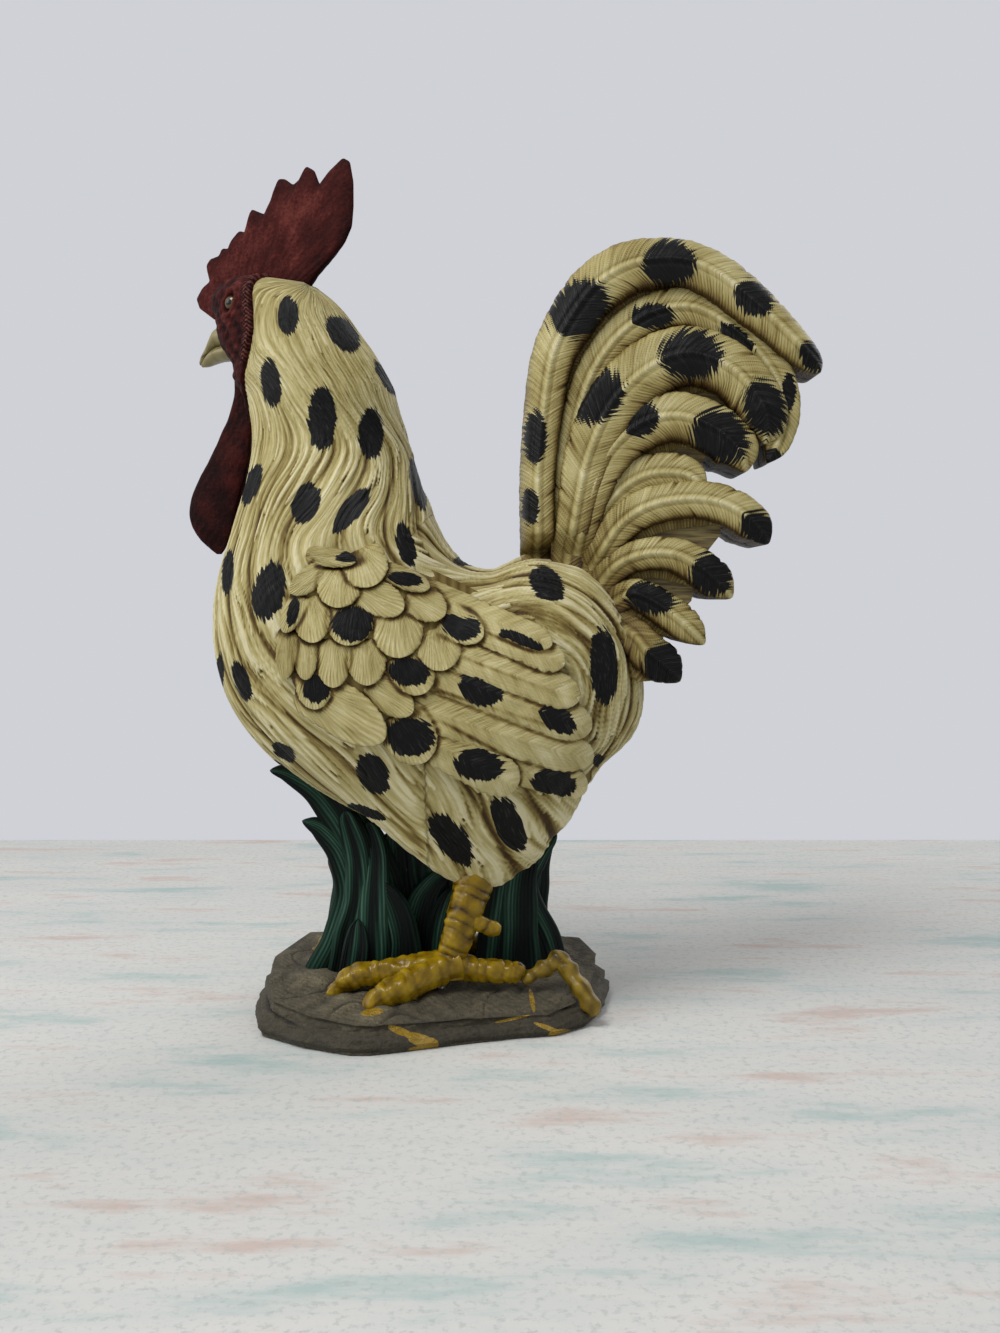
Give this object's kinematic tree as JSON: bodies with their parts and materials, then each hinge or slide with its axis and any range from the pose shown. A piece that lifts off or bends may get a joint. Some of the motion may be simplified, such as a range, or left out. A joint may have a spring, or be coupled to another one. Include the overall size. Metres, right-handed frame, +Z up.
{
  "type": "rooster figurine",
  "caption": "Standing rooster ornament in painted resin: cream body with black spots, dark red comb and wattles, arched tail, on a rock with green leaves.",
  "frame": {"origin": "middle of the underside of the felt, under the bird, on the surface it stands on", "axes": "+Z up; the bird looks along -X, its left side faces -Y"},
  "size_m": [0.2455, 0.1137, 0.325],
  "materials": {
    "cream_paint": "satin cream paint with a brown wash in the grooves and brushed black spots",
    "maroon_paint": "satin dark red paint, finely pebbled",
    "beak_paint": "satin olive-ivory paint",
    "eye_paint": "glossy ochre with a black pupil",
    "leg_paint": "glossy mustard yellow with brown creases",
    "leaf_paint": "satin dark green, dry-brushed lighter on the ridges",
    "rock_paint": "matt grey-brown with ochre splashes",
    "ochre_paint": "glossy ochre",
    "steel": "plain drawn rod, hidden",
    "felt": "green felt"
  },
  "bodies": {
    "root": {"felt_sheet": "felt", "rock_base": "rock_paint", "yellow_root": "ochre_paint", "front_leaf_clump": "leaf_paint", "middle_leaf_clump": "leaf_paint", "rear_leaf_clump": "leaf_paint", "left_leg": "leg_paint", "right_leg": "leg_paint", "left_leg_rod": "steel", "right_leg_rod": "steel", "torso": "cream_paint", "neck_and_head": "cream_paint", "face": "maroon_paint", "comb": "maroon_paint", "upper_beak": "beak_paint", "lower_beak": "beak_paint", "left_eye": "eye_paint", "right_eye": "eye_paint", "left_wattle": "maroon_paint", "right_wattle": "maroon_paint", "left_wing": "cream_paint", "right_wing": "cream_paint", "tail_core": "cream_paint", "left_top_sickle": "cream_paint", "left_inner_sickle": "cream_paint", "left_second_sickle": "cream_paint", "left_third_sickle": "cream_paint", "left_fourth_sickle": "cream_paint", "left_upper_covert": "cream_paint", "left_middle_covert": "cream_paint", "left_lower_covert": "cream_paint", "left_root_covert": "cream_paint", "right_top_sickle": "cream_paint", "right_inner_sickle": "cream_paint", "right_second_sickle": "cream_paint", "right_third_sickle": "cream_paint", "right_fourth_sickle": "cream_paint", "right_upper_covert": "cream_paint", "right_middle_covert": "cream_paint", "right_lower_covert": "cream_paint", "right_root_covert": "cream_paint"}
  },
  "joints": []
}
